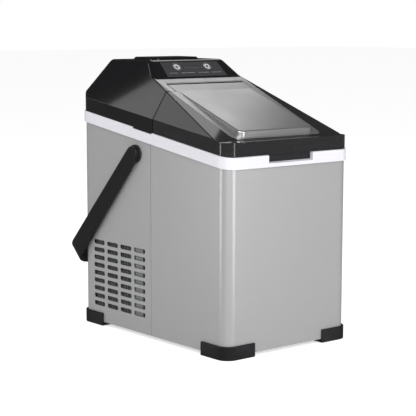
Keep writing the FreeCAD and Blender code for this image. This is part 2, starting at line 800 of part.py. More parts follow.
def platePocket():
    seam = seamPlace - seamGap
    flange = plateOutline(seam + 1).common(faceSheet(plateFront, seam + 1, plateHalf, plateSheet))
    tongue = faceSheet(seam, hingePlace - 0.5, tongueHalf + 1, plateSheet)
    above = plateOutline(seam + 1).common(faceSheet(plateFront, seam + 1, plateHalf, 2, 1.8))
    aboveTongue = faceSheet(seam, hingePlace - 0.5, tongueHalf + 1, 2, 1.8)
    return fused([flange, tongue, above, aboveTongue])


def padSolid(inset):
    """Raised pad of the plate, lifting away from the lid face towards the front."""
    def topAt(y):
        return lidFaceAt(y) + padRise * (seamPlace - y) - inset * slopeLength
    y0 = padFront + inset
    y1 = seamPlace - seamGap
    wedge = sideProfile([(y0, lidFaceAt(y0) - plateSheet * slopeLength),
                         (y1, lidFaceAt(y1) - plateSheet * slopeLength),
                         (y1, topAt(y1)), (y0, topAt(y0))], -200, 200)
    limit = roundedPrism(-padHalf + inset, padHalf - inset, y0, y1 + 60, 0, tallEnough,
                         padCorner - inset)
    return wedge.common(limit)


def onPadTop(place):
    return place.z > lidFaceAt(place.y) + padRise * (seamPlace - place.y) - 0.6


def makeLidPlate():
    seam = seamPlace - seamGap
    flange = plateOutline(seam).common(faceSheet(plateFront, seam, plateHalf, plateSheet))
    tongue = faceSheet(seam - 1, hingePlace - 0.5, tongueHalf, plateSheet)
    hollow = padSolid(plateSheet).common(box(-200, 200, 0, seam - 30, 0, tallEnough))
    pad = padSolid(0)
    top = [e for e in pad.Edges if onPadTop(e.CenterOfMass) and e.CenterOfMass.y < seam - 5]
    return fused([flange, tongue, pad.makeFillet(padEdgeRadius, top)]).cut(hollow)


def makeLidGasket():
    ring = cabinetPrism(skirtProud - roofWall, 0, tallEnough)
    ring = ring.cut(cabinetPrism(skirtProud - roofWall - 2.5, -1, tallEnough + 1))
    ring = ring.common(box(-200, 200, -10, seamPlace - seamGap - roofWall, 0, tallEnough))
    ring = ring.common(aboveSlope(rimTopAt, joinGap + 0.1))
    ring = ring.common(belowSlope(rimTopAt, -joinGap - 2.1))
    return ring.cut(box(-gripLipHalf - 1, gripLipHalf + 1, -5, 5, 0, tallEnough))


def makeHingePins():
    start = trimHalf - trimLeg + 4
    end = tongueHalf - hingePinReach + 0.5
    return Part.makeCompound([hingeAxisRod(hingePinRadius, side * end, side * start)
                              for side in (-1, 1)])


# Carry handle

def atHandleRest(shape):
    """Turns a handle drawn upright (X across, Z up from the pivots) down to where it rests."""
    placed = shape.copy()
    turn = Rotation(X, -(90.0 + handleRestAngle))
    placed.Placement = Placement(Vector(0, pivotPlace, pivotHeight), turn).multiply(placed.Placement)
    return placed


def makeHandle():
    """Flat bail: two arms with round ends and a strap grip, its corners rounded."""
    outerHalf = armInner + armThickness
    low = -armUpper - 2
    outer = roundedBail(outerHalf, low, gripOuter, gripCornerOuter)
    inner = roundedBail(armInner, low - 1, gripInner, gripCornerInner)
    sheetSide = outer.cut(inner)
    points = [(-armUpper, 0), (-armUpper, gripOuter + 5), (armLowerAtGrip, gripOuter + 5),
              (armLowerAtPivot, 0)]
    side = sideProfile(points, -200, 200)
    endPlace = (armLowerAtPivot - armUpper) / 2
    roundEnd = rod((armUpper + armLowerAtPivot) / 2, (-200, endPlace, 0), (200, endPlace, 0))
    handle = sheetSide.common(side.fuse(roundEnd))
    for end in (-1, 1):
        handle = handle.cut(rod(pivotPinRadius + runningGap, (end * (armInner - 1), 0, 0),
                                (end * (outerHalf - pivotEndWall), 0, 0)))
    handle = handle.makeFillet(handleEdgeRadius, [e for e in handle.Edges if e.Length > 60])
    return atHandleRest(handle)


def roundedBail(half, low, high, radius):
    block = box(-half, half, -60, 60, low, high)
    edges = [e for e in block.Edges if abs(e.tangentAt(e.FirstParameter).y) > 0.99
             and e.CenterOfMass.z > high - 1]
    return block.makeFillet(radius, edges)


def makeHandlePivot(side):
    outerHalf = armInner + armThickness
    boss = rod(pivotBossRadius, (side * halfWidth, pivotPlace, pivotHeight),
               (side * (armInner - joinGap), pivotPlace, pivotHeight))
    pin = rod(pivotPinRadius, (side * halfWidth, pivotPlace, pivotHeight),
              (side * (outerHalf - pivotEndWall - joinGap), pivotPlace, pivotHeight))
    return fused([boss, pin])


def makeHandleBumpers():
    """Pads on the rear panel that the grip leans on."""
    cornerY = pivotPlace + gripInner * restCosine - armLowerAtGrip * restSine
    cornerZ = pivotHeight - gripInner * restSine - armLowerAtGrip * restCosine
    pads = [box(x - 7, x + 7, bodyDepth, cornerY - joinGap, cornerZ - 6, cornerZ + 6) for x in (-70, 70)]
    return Part.makeCompound(pads)


# Machine compartment

def makeCondenser():
    x0 = -halfWidth + sheet + 1.5
    x1 = x0 + condenserThickness
    y1 = condenserBack
    z0 = condenserBase
    z1 = z0 + condenserHeight
    pieces = [box(x0, x0 + 1.2, condenserFront, condenserFront + 20, z0, z1)]
    fins = int(condenserLength // 6)
    for i in range(fins + 1):
        y = condenserFront + i * 6.0
        pieces.append(box(x0 + 0.6, x1, y, y + 0.9, z0, z1))
    for k in range(5):
        z = condenserLow + k * condenserPass
        pieces.append(rod(3.5, ((x0 + x1) / 2, condenserFront - 3, z), ((x0 + x1) / 2, y1, z)))
    return fused(pieces)


def makeFanShroud():
    x0 = fanFront
    half = fanRadius + 8
    frame = box(x0, x0 + 18, fanCentrePlace - half, fanCentrePlace + half,
                fanCentreHeight - half + 2, fanCentreHeight + half - 2)
    duct = rod(fanRadius + 2, (x0 - 1, fanCentrePlace, fanCentreHeight),
               (x0 + 30, fanCentrePlace, fanCentreHeight))
    return frame.cut(duct)


def makeFanBracket():
    x0 = fanFront + 18
    bars = []
    for degrees in (0, 90):
        bar = Part.makeBox(3, 2 * (fanRadius + 7), 8, Vector(x0, -(fanRadius + 7), -4))
        bar.rotate(Vector(0, 0, 0), X, degrees)
        bar.translate(Vector(0, fanCentrePlace, fanCentreHeight))
        bars.append(bar)
    hole = rod(9, (x0 - 1, fanCentrePlace, fanCentreHeight), (x0 + 9, fanCentrePlace, fanCentreHeight))
    ring = rod(20, (x0, fanCentrePlace, fanCentreHeight), (x0 + 3, fanCentrePlace, fanCentreHeight))
    return fused(bars + [ring]).cut(hole)


def makeFanMotor():
    x0 = fanFront + 21
    body = rod(17, (x0, fanCentrePlace, fanCentreHeight), (x0 + 22, fanCentrePlace, fanCentreHeight))
    shaft = rod(2, (fanFront + 4, fanCentrePlace, fanCentreHeight),
                (x0, fanCentrePlace, fanCentreHeight))
    return fused([body, shaft])


def makeFanRotor():
    x0 = fanFront + 3
    hub = rod(14, (x0, fanCentrePlace, fanCentreHeight), (x0 + 12, fanCentrePlace, fanCentreHeight))
    pieces = [hub]
    blades = 7
    for i in range(blades):
        blade = Part.makeBox(1.6, 22, fanRadius - 12, Vector(-0.8, -11, 12))
        blade.rotate(Vector(0, 0, 0), Z, 62)
        blade.rotate(Vector(0, 0, 0), X, i * 360.0 / blades)
        blade.translate(Vector(x0 + 6, fanCentrePlace, fanCentreHeight))
        pieces.append(blade)
    rotor = fused(pieces)
    rim = rod(fanRadius, (x0 - 1, fanCentrePlace, fanCentreHeight),
              (x0 + 14, fanCentrePlace, fanCentreHeight))
    bore = rod(2 + runningGap, (x0 + 0.6, fanCentrePlace, fanCentreHeight),
               (x0 + 20, fanCentrePlace, fanCentreHeight))
    return rotor.common(rim).cut(bore)


def compressorFeet():
    return [(compressorX + 52 * math.cos(math.radians(a)), compressorPlace + 52 * math.sin(math.radians(a)))
            for a in (30, 150, 270)]


def makeCompressor():
    can = rod(compressorRadius, (compressorX, compressorPlace, compressorBase + 3),
              (compressorX, compressorPlace, compressorBase + compressorHeight))
    can = can.makeFillet(20, [e for e in can.Edges if e.Length > 200])
    plate = rod(20, (compressorX, compressorPlace, compressorBase),
                (compressorX, compressorPlace, compressorBase + 6))
    pieces = [can, plate]
    for x, y in compressorFeet():
        pad = rod(9, (x, y, compressorBase), (x, y, compressorBase + 3))
        reach = Vector(compressorX - x, compressorPlace - y, 0)
        bar = Part.makeBox(reach.Length, 16, 3, Vector(0, -8, 0))
        bar.rotate(Vector(0, 0, 0), Z, math.degrees(math.atan2(reach.y, reach.x)))
        bar.translate(Vector(x, y, compressorBase))
        pieces += [pad, bar]
    body = fused(pieces)
    for x, y in compressorFeet():
        body = body.cut(rod(3.2, (x, y, compressorBase - 1), (x, y, compressorBase + 5)))
    return body


def makeCompressorGrommets():
    pads = [rod(8, (x, y, baseTop), (x, y, compressorBase)).cut(
        rod(3.2, (x, y, baseTop - 1), (x, y, compressorBase + 1))) for x, y in compressorFeet()]
    return Part.makeCompound(pads)


def makeCompressorBolts():
    bolts = []
    for x, y in compressorFeet():
        shank = rod(3, (x, y, baseTop), (x, y, compressorBase + 3))
        head = rod(5.5, (x, y, compressorBase + 3), (x, y, compressorBase + 7))
        bolts.append(fused([shank, head]))
    return Part.makeCompound(bolts)


def makeFilterDrier():
    body = rod(9, (drierX, drierPlace, drierLow + 10), (drierX, drierPlace, drierHigh - 10))
    body = body.makeFillet(4, [e for e in body.Edges if e.Length > 50])
    ends = rod(3, (drierX, drierPlace, drierLow), (drierX, drierPlace, drierHigh))
    return fused([body, ends])


def makeGasValve():
    body = rod(6, (84, 176, 168), (84, 176, 200))
    coil = roundedPrism(73, 95, 165, 187, 174, 192, 3)
    return fused([body, coil])


def makeSuctionTube():
    z = trayAxisHeight + coilAbove
    return tubePath(3.5, [(lineX[1], seamPlace + 7, z), (lineX[1], seamPlace + 20, z),
                          (lineX[1], seamPlace + 20, 215), (58, 262, 215),
                          (58, 262, 150), (58, 240, 150), (58, 240, compressorTop)])


def makeLiquidTube():
    z = trayAxisHeight + coilAbove
    return tubePath(2.0, [(lineX[0], seamPlace + 7, z), (lineX[0], seamPlace + 14, z),
                          (lineX[0], seamPlace + 14, 226), (drierX, drierPlace, 226),
                          (drierX, drierPlace, drierHigh)])


def condenserMiddle():
    return -halfWidth + sheet + 1.5 + condenserThickness / 2


def makeDischargeTube():
    x = condenserMiddle()
    over = compressorTop + 8
    return tubePath(2.5, [(24, compressorPlace, compressorTop), (24, compressorPlace, over),
                          (24, rearRun, over), (x, rearRun, over), (x, rearRun, condenserHigh),
                          (x, condenserBack, condenserHigh)])


def makeDrierTube():
    x = condenserMiddle()
    turn = drierLow - 10
    return tubePath(2.5, [(drierX, drierPlace, drierLow), (drierX, drierPlace, turn),
                          (drierX, rearRun + 2, turn), (drierX, rearRun + 2, condenserLow),
                          (x, rearRun + 2, condenserLow), (x, condenserBack, condenserLow)])


def makePowerBoard():
    y0 = seamPlace + 7
    pieces = [box(-78, 22, y0, y0 + 1.6, 150, 222)]
    pieces.append(box(-70, -42, y0 + 1, y0 + 24, 158, 190))
    pieces.append(box(-30, -12, y0 + 1, y0 + 16, 160, 176))
    for i in range(3):
        pieces.append(rod(5, (-4 + i * 11, y0 + 1, 168), (-4 + i * 11, y0 + 19, 168)))
    for x in (-74, 18):
        for z in (154, 218):
            pieces.append(rod(2.5, (x, seamPlace + 3, z), (x, y0 + 0.5, z)))
    return fused(pieces)


def makePowerInlet():
    w, h = inletWidth / 2, inletHeight / 2
    body = box(inletX - w, inletX + w, bodyDepth - 20, bodyDepth,
               inletPlaceHeight - h, inletPlaceHeight + h)
    flange = box(inletX - w - 3, inletX + w + 3, bodyDepth, bodyDepth + 2,
                 inletPlaceHeight - h - 3, inletPlaceHeight + h + 3)
    cavity = box(inletX - w + 1.5, inletX + w - 1.5, bodyDepth - 16, bodyDepth + 5,
                 inletPlaceHeight - h + 1.7, inletPlaceHeight + h - 1.7)
    shell = fused([body, flange]).cut(cavity)
    pins = [box(inletX + dx - 1, inletX + dx + 1, bodyDepth - 18, bodyDepth - 4,
                inletPlaceHeight + dz - 2, inletPlaceHeight + dz + 2)
            for dx, dz in ((-7, -1), (0, 2), (7, -1))]
    return fused([shell] + pins)


def makeCaseScrews():
    screws = []
    for x in (-90, 90):
        for z in (34, 150, 262):
            head = rod(3, (x, bodyDepth, z), (x, bodyDepth + 1.6, z))
            head = head.cut(box(x - 0.5, x + 0.5, bodyDepth + 0.9, bodyDepth + 3, z - 2.2, z + 2.2))
            screws.append(head.cut(box(x - 2.2, x + 2.2, bodyDepth + 0.9, bodyDepth + 3, z - 0.5, z + 0.5)))
    return Part.makeCompound(screws)


def allParts():
    parts = {
        "base_pan": makeBasePan(),
        "front_panel_wrap": makeFrontPanel(),
        "rear_panel_wrap": makeRearPanel(),
        "top_rim": makeTopRim(),
        "inner_liner": makeLiner(),
        "insulation_foam": makeInsulation(),
        "bulkhead": makeBulkhead(),
        "ice_basket": makeIceBasket(),
        "water_tray": makeWaterTray(),
        "ice_rake": makeIceRake(),
        "tray_motor": makeTrayMotor(),
        "tray_bearing": makeTrayBearing(),
        "evaporator": makeEvaporator(),
        "evaporator_bracket": makeEvaporatorBracket(),
        "ice_level_sensors": makeIceSensors(),
        "water_pump": makeWaterPump(),
        "pump_hose": makePumpHose(),
        "float_guide": makeFloatGuide(),
        "water_float": makeWaterFloat(),
        "drain_socket": makeDrainSocket(),
        "drain_plug": makeDrainPlug(),
        "rear_cap": makeRearCap(),
        "trim_strip": makeTrimStrip(),
        "control_overlay": makeControlOverlay(),
        "power_key": makeKey(-1),
        "select_key": makeKey(1),
        "control_board": makeControlBoard(),
        "lid_shell": makeLidShell(),
        "lid_plate": makeLidPlate(),
        "lid_gasket": makeLidGasket(),
        "lid_hinge_pins": makeHingePins(),
        "carry_handle": makeHandle(),
        "handle_pivot_left": makeHandlePivot(-1),
        "handle_pivot_right": makeHandlePivot(1),
        "handle_bumpers": makeHandleBumpers(),
        "condenser": makeCondenser(),
        "fan_shroud": makeFanShroud(),
        "fan_motor_bracket": makeFanBracket(),
        "fan_motor": makeFanMotor(),
        "fan_rotor": makeFanRotor(),
        "compressor": makeCompressor(),
        "compressor_grommets": makeCompressorGrommets(),
        "compressor_bolts": makeCompressorBolts(),
        "filter_drier": makeFilterDrier(),
        "hot_gas_valve": makeGasValve(),
        "suction_tube": makeSuctionTube(),
        "liquid_tube": makeLiquidTube(),
        "discharge_tube": makeDischargeTube(),
        "drier_tube": makeDrierTube(),
        "power_board": makePowerBoard(),
        "power_inlet": makePowerInlet(),
        "case_screws": makeCaseScrews(),
    }
    for sideName, side in (("left", -1), ("right", 1)):
        for endName, end in (("front", -1), ("rear", 1)):
            parts[f"corner_foot_{endName}_{sideName}"] = makeFoot(side, end)
    return parts


def main():
    os.makedirs("parts", exist_ok=True)
    parts = allParts()
    boxes = [shape.optimalBoundingBox(False, False) for shape in parts.values()]
    middle = (min(b.YMin for b in boxes) + max(b.YMax for b in boxes)) / 2.0
    for name, shape in parts.items():
        moved = shape.copy()
        moved.translate(Vector(0, -middle, 0))
        moved.exportStep(f"parts/{name}.step")
        print(f"{name:24s} solids {len(moved.Solids)} volume {moved.Volume:.0f} valid {moved.isValid()}")
    print(f"front panel face is at y = {-middle:.4f}")


main()
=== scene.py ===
import json
import math
import bpy
from mathutils import Matrix, Vector


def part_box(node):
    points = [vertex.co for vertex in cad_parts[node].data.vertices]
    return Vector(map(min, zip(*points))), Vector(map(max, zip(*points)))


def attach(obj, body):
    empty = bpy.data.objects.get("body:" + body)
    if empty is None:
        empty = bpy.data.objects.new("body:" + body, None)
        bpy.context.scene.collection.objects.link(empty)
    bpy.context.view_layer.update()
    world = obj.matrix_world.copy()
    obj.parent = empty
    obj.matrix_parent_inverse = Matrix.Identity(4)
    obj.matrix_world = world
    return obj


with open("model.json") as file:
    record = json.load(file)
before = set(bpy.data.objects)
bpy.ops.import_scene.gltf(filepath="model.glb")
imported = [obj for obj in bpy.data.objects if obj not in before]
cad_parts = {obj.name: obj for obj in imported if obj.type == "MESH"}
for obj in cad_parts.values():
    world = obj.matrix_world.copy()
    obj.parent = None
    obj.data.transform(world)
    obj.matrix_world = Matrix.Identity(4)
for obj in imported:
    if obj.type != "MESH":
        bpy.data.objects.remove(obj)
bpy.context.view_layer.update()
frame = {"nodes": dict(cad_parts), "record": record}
nodes = frame["nodes"]
print("stage: frame loaded,", len(nodes), "nodes")

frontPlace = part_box("front_panel_wrap")[0].y      # front face of the cabinet
white = (1.0, 1.0, 1.0, 1.0)


def nothingSelected():
    if bpy.context.object and bpy.context.object.mode != "OBJECT":
        bpy.ops.object.mode_set(mode="OBJECT")
    bpy.ops.object.select_all(action="DESELECT")


def only(piece):
    nothingSelected()
    piece.select_set(True)
    bpy.context.view_layer.objects.active = piece


def settle(piece, name):
    only(piece)
    bpy.ops.object.transform_apply(location=True, rotation=True, scale=True)
    piece.name = name
    piece.data.name = name
    return piece


def recalcOut(piece):
    only(piece)
    bpy.ops.object.mode_set(mode="EDIT")
    bpy.ops.mesh.select_all(action="SELECT")
    bpy.ops.mesh.normals_make_consistent(inside=False)
    bpy.ops.object.mode_set(mode="OBJECT")


def applied(piece, kind, **settings):
    only(piece)
    modifier = piece.modifiers.new(kind, kind)
    for key, value in settings.items():
        setattr(modifier, key, value)
    bpy.ops.object.modifier_apply(modifier=modifier.name)


def newGroup(name, inputs, outputs):
    group = bpy.data.node_groups.new(name, "ShaderNodeTree")
    for label, kind, value in inputs:
        socket = group.interface.new_socket(label, in_out="INPUT", socket_type=kind)
        socket.default_value = value
    for label, kind in outputs:
        group.interface.new_socket(label, in_out="OUTPUT", socket_type=kind)
    entry = group.nodes.new("NodeGroupInput")
    leave = group.nodes.new("NodeGroupOutput")
    return group, entry, leave


grainLook = {"scale": 900.0, "stretch": (1.0, 1.0, 1.0), "detail": 3.0,
             "cloudScale": 14.0, "cloudDetail": 4.0}


def makeGrainGroup():
    # two noises from 0 to 1: the fine grain of a moulding, and a slow cloud over the whole piece
    group, entry, leave = newGroup("mouldedGrain", [
        ("Scale", "NodeSocketFloat", grainLook["scale"]),
        ("Stretch", "NodeSocketVector", grainLook["stretch"])],
        [("Grain", "NodeSocketFloat"), ("Cloud", "NodeSocketFloat")])
    links = group.links
    place = group.nodes.new("ShaderNodeTexCoord")
    stretch = group.nodes.new("ShaderNodeVectorMath")
    stretch.operation = "MULTIPLY"
    links.new(place.outputs["Object"], stretch.inputs[0])
    links.new(entry.outputs["Stretch"], stretch.inputs[1])
    fine = group.nodes.new("ShaderNodeTexNoise")
    fine.inputs["Detail"].default_value = grainLook["detail"]
    links.new(stretch.outputs[0], fine.inputs["Vector"])
    links.new(entry.outputs["Scale"], fine.inputs["Scale"])
    cloud = group.nodes.new("ShaderNodeTexNoise")
    cloud.inputs["Scale"].default_value = grainLook["cloudScale"]
    cloud.inputs["Detail"].default_value = grainLook["cloudDetail"]
    links.new(place.outputs["Object"], cloud.inputs["Vector"])
    links.new(fine.outputs["Fac"], leave.inputs["Grain"])
    links.new(cloud.outputs["Fac"], leave.inputs["Cloud"])
    return group


edgeHighlightLook = {"starts": 0.52, "full": 0.62, "amount": 0.5, "break": 60.0}


def makeEdgeHighlightGroup():
    # painted edge highlight: a lighter colour, strongest on sharp outward edges, broken up by noise
    group, entry, leave = newGroup("paintedEdgeHighlight", [
        ("Amount", "NodeSocketFloat", edgeHighlightLook["amount"]),
        ("Break", "NodeSocketFloat", edgeHighlightLook["break"])],
        [("Mask", "NodeSocketFloat")])
    links = group.links
    shape = group.nodes.new("ShaderNodeNewGeometry")
    edge = group.nodes.new("ShaderNodeMapRange")
    edge.inputs["From Min"].default_value = edgeHighlightLook["starts"]
    edge.inputs["From Max"].default_value = edgeHighlightLook["full"]
    links.new(shape.outputs["Pointiness"], edge.inputs["Value"])
    place = group.nodes.new("ShaderNodeTexCoord")
    noise = group.nodes.new("ShaderNodeTexNoise")
    links.new(place.outputs["Object"], noise.inputs["Vector"])
    links.new(entry.outputs["Break"], noise.inputs["Scale"])
    mixed = group.nodes.new("ShaderNodeMath")
    mixed.operation = "MULTIPLY"
    links.new(edge.outputs["Result"], mixed.inputs[0])
    links.new(noise.outputs["Fac"], mixed.inputs[1])
    scaled = group.nodes.new("ShaderNodeMath")
    scaled.operation = "MULTIPLY"
    scaled.use_clamp = True
    links.new(mixed.outputs[0], scaled.inputs[0])
    links.new(entry.outputs["Amount"], scaled.inputs[1])
    links.new(scaled.outputs[0], leave.inputs["Mask"])
    return group


grainGroup = makeGrainGroup()
edgeHighlightGroup = makeEdgeHighlightGroup()

finishes = {
    "cabinet_paint": {
        "colour": (0.50, 0.50, 0.505), "shade": (0.47, 0.47, 0.475), "rough": 0.36, "roughSpread": 0.05,
        "metal": 0.45, "scale": 1500.0, "bump": 0.02, "coat": 0.25, "coatRough": 0.22},
    "white_plastic": {
        "colour": (0.68, 0.67, 0.71), "shade": (0.65, 0.64, 0.68), "rough": 0.32, "roughSpread": 0.05,
        "scale": 1200.0, "bump": 0.02},
    "gloss_black": {
        "colour": (0.006, 0.006, 0.007), "shade": (0.009, 0.009, 0.010), "rough": 0.06, "roughSpread": 0.02,
        "scale": 240.0, "bump": 0.006, "coat": 0.3, "coatRough": 0.03},
    "smoked_plastic": {
        "colour": (0.10, 0.10, 0.105), "shade": (0.085, 0.085, 0.09), "rough": 0.05, "roughSpread": 0.01,
        "scale": 240.0, "bump": 0.0, "transmission": 0.80, "ior": 1.49},
    "silver_trim": {
        "colour": (0.60, 0.60, 0.605), "shade": (0.52, 0.52, 0.525), "rough": 0.34, "roughSpread": 0.10,
        "metal": 0.9, "scale": 700.0, "bump": 0.03, "stretch": (8.0, 0.4, 0.4)},
    "panel_film": {
        "colour": (0.045, 0.045, 0.048), "shade": (0.040, 0.040, 0.043), "rough": 0.38, "roughSpread": 0.05,
        "scale": 1600.0, "bump": 0.02},
    "key_plastic": {
        "colour": (0.035, 0.035, 0.038), "shade": (0.03, 0.03, 0.033), "rough": 0.30, "roughSpread": 0.06,
        "scale": 1600.0, "bump": 0.02},
    # the handle's lighter sharp edges are a painted highlight
    "handle_plastic": {
        "colour": (0.008, 0.008, 0.009), "shade": (0.012, 0.012, 0.013), "rough": 0.42, "roughSpread": 0.10,
        "scale": 1800.0, "bump": 0.10, "paintedHighlight": 0.3, "specular": 0.28},
    "dark_plastic": {
        "colour": (0.014, 0.014, 0.015), "shade": (0.02, 0.02, 0.021), "rough": 0.48, "roughSpread": 0.10,
        "scale": 1500.0, "bump": 0.08, "specular": 0.35},
    "liner_plastic": {
        "colour": (0.56, 0.58, 0.60), "shade": (0.52, 0.54, 0.56), "rough": 0.35, "roughSpread": 0.08,
        "scale": 900.0, "bump": 0.03},
    "tray_plastic": {
        "colour": (0.72, 0.73, 0.74), "shade": (0.66, 0.67, 0.68), "rough": 0.38, "roughSpread": 0.08,
        "scale": 900.0, "bump": 0.03},
    "foam": {
        "colour": (0.76, 0.67, 0.42), "shade": (0.66, 0.57, 0.33), "rough": 0.92, "roughSpread": 0.05,
        "scale": 500.0, "bump": 0.4},
    "galvanised": {
        "colour": (0.55, 0.56, 0.57), "shade": (0.45, 0.46, 0.48), "rough": 0.42, "roughSpread": 0.15,
        "metal": 1.0, "scale": 120.0, "bump": 0.02},
    "tube_metal": {
        "colour": (0.72, 0.72, 0.72), "shade": (0.62, 0.62, 0.63), "rough": 0.16, "roughSpread": 0.10,
        "metal": 1.0, "scale": 400.0, "bump": 0.01},
    "copper": {
        "colour": (0.68, 0.33, 0.20), "shade": (0.44, 0.20, 0.12), "rough": 0.30, "roughSpread": 0.18,
        "metal": 1.0, "scale": 300.0, "bump": 0.02},
    "fin_metal": {
        "colour": (0.40, 0.42, 0.40), "shade": (0.33, 0.35, 0.33), "rough": 0.40, "roughSpread": 0.10,
        "metal": 0.8, "scale": 500.0, "bump": 0.02},
    "steel": {
        "colour": (0.52, 0.52, 0.53), "shade": (0.42, 0.42, 0.43), "rough": 0.30, "roughSpread": 0.12,
        "metal": 1.0, "scale": 600.0, "bump": 0.02},
    "black_enamel": {
        "colour": (0.012, 0.012, 0.013), "shade": (0.02, 0.02, 0.021), "rough": 0.28, "roughSpread": 0.12,
        "scale": 300.0, "bump": 0.05},
    "soft_rubber": {
        "colour": (0.020, 0.020, 0.020), "shade": (0.032, 0.032, 0.032), "rough": 0.78, "roughSpread": 0.10,
        "scale": 1400.0, "bump": 0.10},
    "circuit_board": {
        "colour": (0.015, 0.13, 0.055), "shade": (0.01, 0.09, 0.04), "rough": 0.35, "roughSpread": 0.08,
        "scale": 900.0, "bump": 0.03},
    "pale_ink": {
        "colour": (0.72, 0.72, 0.74), "shade": (0.60, 0.60, 0.62), "rough": 0.40, "roughSpread": 0.05,
        "scale": 1500.0, "bump": 0.01},
    "faint_ink": {
        "colour": (0.22, 0.22, 0.23), "shade": (0.17, 0.17, 0.18), "rough": 0.42, "roughSpread": 0.05,
        "scale": 1500.0, "bump": 0.01},
    "lens_blue": {
        "colour": (0.16, 0.19, 0.24), "shade": (0.11, 0.13, 0.18), "rough": 0.14, "roughSpread": 0.05,
        "scale": 600.0, "bump": 0.0, "coat": 0.6, "coatRough": 0.05},
}

# what a finish has when its own row says nothing
plainFinish = {"metal": 0.0, "coat": 0.0, "coatRough": 0.1, "transmission": 0.0, "ior": 1.5,
               "specular": 0.5, "stretch": (1.0, 1.0, 1.0)}
# the last two values brighten the colour for the painted edge highlight
surfaceLook = {"grainDepth": 0.0004, "leastRough": 0.02, "highlightGain": 4.0, "highlightLift": 0.03}
shaderSockets = {"metal": "Metallic", "coat": "Coat Weight", "coatRough": "Coat Roughness",
                 "transmission": "Transmission Weight", "ior": "IOR", "specular": "Specular IOR Level"}


# colour of the painted edge highlight: the base colour made brighter
def highlightColour(colour):
    return [min(1.0, part * surfaceLook["highlightGain"] + surfaceLook["highlightLift"]) for part in colour]


def makeFinish(name, row):
    look = {**plainFinish, **row}
    material = bpy.data.materials.new(name)
    material.use_nodes = True
    tree = material.node_tree
    shader = tree.nodes["Principled BSDF"]
    for key, socket in shaderSockets.items():
        shader.inputs[socket].default_value = look[key]
    grain = tree.nodes.new("ShaderNodeGroup")
    grain.node_tree = grainGroup
    grain.inputs["Scale"].default_value = look["scale"]
    grain.inputs["Stretch"].default_value = look["stretch"]
    tint = tree.nodes.new("ShaderNodeMix")
    tint.data_type = "RGBA"
    tint.inputs["A"].default_value = (*look["colour"], 1.0)
    tint.inputs["B"].default_value = (*look["shade"], 1.0)
    tree.links.new(grain.outputs["Cloud"], tint.inputs["Factor"])
    colour = tint.outputs["Result"]
    # painted highlight: sharp edges lightened in colour
    if "paintedHighlight" in look:
        paintedHighlight = tree.nodes.new("ShaderNodeGroup")
        paintedHighlight.node_tree = edgeHighlightGroup
        paintedHighlight.inputs["Amount"].default_value = look["paintedHighlight"]
        highlighted = tree.nodes.new("ShaderNodeMix")
        highlighted.data_type = "RGBA"
        highlighted.inputs["B"].default_value = (*highlightColour(look["colour"]), 1.0)
        tree.links.new(paintedHighlight.outputs["Mask"], highlighted.inputs["Factor"])
        tree.links.new(colour, highlighted.inputs["A"])
        colour = highlighted.outputs["Result"]
    tree.links.new(colour, shader.inputs["Base Color"])
    spread = tree.nodes.new("ShaderNodeMapRange")
    smooth = max(surfaceLook["leastRough"], look["rough"] - look["roughSpread"])
    spread.inputs["To Min"].default_value = smooth
    spread.inputs["To Max"].default_value = look["rough"] + look["roughSpread"]
    tree.links.new(grain.outputs["Cloud"], spread.inputs["Value"])
    tree.links.new(spread.outputs["Result"], shader.inputs["Roughness"])
    if look["bump"] > 0.0:
        bump = tree.nodes.new("ShaderNodeBump")
        bump.inputs["Strength"].default_value = look["bump"]
        bump.inputs["Distance"].default_value = surfaceLook["grainDepth"]
        tree.links.new(grain.outputs["Grain"], bump.inputs["Height"])
        tree.links.new(bump.outputs["Normal"], shader.inputs["Normal"])
    return material


materials = {name: makeFinish(name, row) for name, row in finishes.items()}
slotOf = {row["node"]: row["material_slot"] for row in frame["record"]["subparts"]}
for name, node in nodes.items():
    node.data.materials.clear()
    node.data.materials.append(materials[slotOf[name]])
print("stage: finishes on", len(nodes), "nodes")

# lower edge of the sloping control face: back from the front panel, up, and its slope in degrees
controlFace = {"back": 0.182584, "height": 0.344515, "angle": 42.0}


def placedOnFace(piece, name, x, along, lift):
    start = Vector((0.0, frontPlace + controlFace["back"], controlFace["height"]))
    slope = Matrix.Rotation(math.radians(controlFace["angle"]), 4, "X")
    piece.matrix_world = Matrix.Translation(start) @ slope @ Matrix.Translation((x, along, lift))
    return settle(piece, name)


def thickened(piece, thickness):
    only(piece)
    bpy.ops.object.mode_set(mode="EDIT")
    bpy.ops.mesh.select_all(action="SELECT")
    bpy.ops.mesh.extrude_region_move(TRANSFORM_OT_translate={"value": (0.0, 0.0, thickness)})
    bpy.ops.object.mode_set(mode="OBJECT")
    recalcOut(piece)


def copied(piece, name, across):
    # the same piece again with its own mesh, moved from side to side
    only(piece)
    bpy.ops.object.duplicate(linked=False)
    twin = bpy.context.object
    twin.location.x = across
    return settle(twin, name)


def joined(pieces, name):
    nothingSelected()
    for piece in pieces:
        piece.select_set(True)
    bpy.context.view_layer.objects.active = pieces[0]
    bpy.ops.object.join()
    return settle(bpy.context.object, name)


discLook = {"sides": 48, "softEdge": 0.45, "steps": 3}      # soft edges are a share of the thickness
ringLook = {"sides": 64, "softEdge": 0.3, "steps": 2}
barLook = {"corner": 0.3, "steps": 3}                       # the corner is a share of the height


def makeDisc(radius, thickness, x, along, lift, name):
    # low disc with a softened edge
    nothingSelected()
    bpy.ops.mesh.primitive_circle_add(vertices=discLook["sides"], radius=radius, fill_type="NGON")
    piece = bpy.context.object
    thickened(piece, thickness)
    applied(piece, "BEVEL", width=thickness * discLook["softEdge"], segments=discLook["steps"],
            limit_method="ANGLE")
    return placedOnFace(piece, name, x, along, lift)


